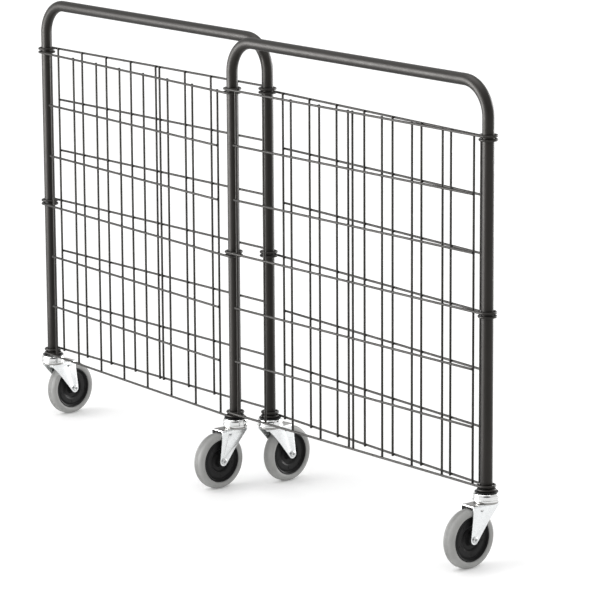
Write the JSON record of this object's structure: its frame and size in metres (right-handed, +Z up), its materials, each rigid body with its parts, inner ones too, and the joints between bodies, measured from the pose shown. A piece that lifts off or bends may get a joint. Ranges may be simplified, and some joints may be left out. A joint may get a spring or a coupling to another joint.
{
  "type": "collapsible shopping trolley",
  "caption": "Collapsible wire shopping trolley, folded flat: two tubular hoops joined by hinged welded wire panels on swivel casters with grey tyres.",
  "frame": {"origin": "on the floor under the middle of the trolley, in the folded rest pose", "axes": "+X along the two hoops' top tubes, from the end with leg al to the end with leg br; +Y across the folded trolley, from hoop b to hoop a; +Z up"},
  "size_m": [1.6477, 0.2811, 1.0025],
  "materials": {
    "powder_coat_frame": "semi-gloss anthracite powder coat on steel tube",
    "powder_coat_wire": "semi-gloss anthracite powder coat on steel wire",
    "black_plastic": "moulded black plastic",
    "hub_plastic": "moulded black plastic, satin",
    "zinc_pressing": "bright zinc plated pressed steel",
    "zinc_hardware": "zinc plated bolts and nuts",
    "steel_ball": "bare bearing steel",
    "grey_rubber": "matt light grey non-marking rubber"
  },
  "bodies": {
    "frame_a": {"hoop_a": "powder_coat_frame", "mesh_end_a": "powder_coat_wire", "eye_wires_end_a": "powder_coat_wire", "tube_plug_al": "black_plastic", "kingpin_al": "zinc_hardware", "kingpin_nut_al": "zinc_hardware", "swivel_dome_al": "zinc_pressing", "upper_race_al": "zinc_pressing", "tube_plug_ar": "black_plastic", "kingpin_ar": "zinc_hardware", "kingpin_nut_ar": "zinc_hardware", "swivel_dome_ar": "zinc_pressing", "upper_race_ar": "zinc_pressing"},
    "frame_b": {"hoop_b": "powder_coat_frame", "mesh_end_b": "powder_coat_wire", "eye_wires_end_b": "powder_coat_wire", "tube_plug_bl": "black_plastic", "kingpin_bl": "zinc_hardware", "kingpin_nut_bl": "zinc_hardware", "swivel_dome_bl": "zinc_pressing", "upper_race_bl": "zinc_pressing", "tube_plug_br": "black_plastic", "kingpin_br": "zinc_hardware", "kingpin_nut_br": "zinc_hardware", "swivel_dome_br": "zinc_pressing", "upper_race_br": "zinc_pressing"},
    "side_panel_left": {"mesh_side_left": "powder_coat_wire", "eye_wires_side_left": "powder_coat_wire"},
    "side_panel_right": {"mesh_side_right": "powder_coat_wire", "eye_wires_side_right": "powder_coat_wire"},
    "caster_al": {"caster_fork_al": "zinc_pressing", "race_balls_al": "steel_ball", "axle_bolt_al": "zinc_hardware", "axle_nut_al": "zinc_hardware", "axle_sleeve_al": "steel_ball"},
    "wheel_al": {"wheel_hub_al": "hub_plastic", "tyre_al": "grey_rubber"},
    "caster_ar": {"caster_fork_ar": "zinc_pressing", "race_balls_ar": "steel_ball", "axle_bolt_ar": "zinc_hardware", "axle_nut_ar": "zinc_hardware", "axle_sleeve_ar": "steel_ball"},
    "wheel_ar": {"wheel_hub_ar": "hub_plastic", "tyre_ar": "grey_rubber"},
    "caster_bl": {"caster_fork_bl": "zinc_pressing", "race_balls_bl": "steel_ball", "axle_bolt_bl": "zinc_hardware", "axle_nut_bl": "zinc_hardware", "axle_sleeve_bl": "steel_ball"},
    "wheel_bl": {"wheel_hub_bl": "hub_plastic", "tyre_bl": "grey_rubber"},
    "caster_br": {"caster_fork_br": "zinc_pressing", "race_balls_br": "steel_ball", "axle_bolt_br": "zinc_hardware", "axle_nut_br": "zinc_hardware", "axle_sleeve_br": "steel_ball"},
    "wheel_br": {"wheel_hub_br": "hub_plastic", "tyre_br": "grey_rubber"}
  },
  "joints": [
    {"name": "fold", "type": "hinge", "parent": "frame_a", "child": "side_panel_left", "pos_m": [-0.79398, 0.02806, 0.523], "axis": [0, 0, -1], "range_deg": [-1.7, 85.82]},
    {"name": "fold_front_hoop", "type": "hinge", "parent": "side_panel_left", "child": "frame_b", "pos_m": [-0.02602, -0.02806, 0.523], "axis": [0, 0, -1], "range_deg": [-85.82, 1.7]},
    {"name": "fold_right_panel", "type": "hinge", "parent": "frame_a", "child": "side_panel_right", "pos_m": [0.02602, 0.02806, 0.523], "axis": [0, 0, -1], "range_deg": [-1.7, 85.82]},
    {"name": "swivel_al", "type": "hinge", "parent": "frame_a", "child": "caster_al", "pos_m": [-0.79398, 0.02806, 0.14], "axis": [0, 0, 1], "continuous": true},
    {"name": "wheel_spin_al", "type": "hinge", "parent": "caster_al", "child": "wheel_al", "pos_m": [-0.79746, 0.07794, 0.0625], "axis": [-0.9976, -0.0698, 0], "continuous": true},
    {"name": "swivel_ar", "type": "hinge", "parent": "frame_a", "child": "caster_ar", "pos_m": [0.02602, 0.02806, 0.14], "axis": [0, 0, 1], "range_deg": [-180, 80]},
    {"name": "wheel_spin_ar", "type": "hinge", "parent": "caster_ar", "child": "wheel_ar", "pos_m": [0.02254, 0.07794, 0.0625], "axis": [-0.9976, -0.0698, 0], "continuous": true},
    {"name": "swivel_bl", "type": "hinge", "parent": "frame_b", "child": "caster_bl", "pos_m": [-0.02602, -0.02806, 0.14], "axis": [0, 0, 1], "range_deg": [-180, 80]},
    {"name": "wheel_spin_bl", "type": "hinge", "parent": "caster_bl", "child": "wheel_bl", "pos_m": [-0.02472, -0.07805, 0.0625], "axis": [0.9997, 0.0262, 0], "continuous": true},
    {"name": "swivel_br", "type": "hinge", "parent": "frame_b", "child": "caster_br", "pos_m": [0.79398, -0.02806, 0.14], "axis": [0, 0, 1], "continuous": true},
    {"name": "wheel_spin_br", "type": "hinge", "parent": "caster_br", "child": "wheel_br", "pos_m": [0.79528, -0.07805, 0.0625], "axis": [0.9997, 0.0262, 0], "continuous": true}
  ],
  "couplings": [
    {"joint": "fold_front_hoop", "follows": "fold", "ratio": -1},
    {"joint": "fold_right_panel", "follows": "fold", "ratio": 1}
  ]
}
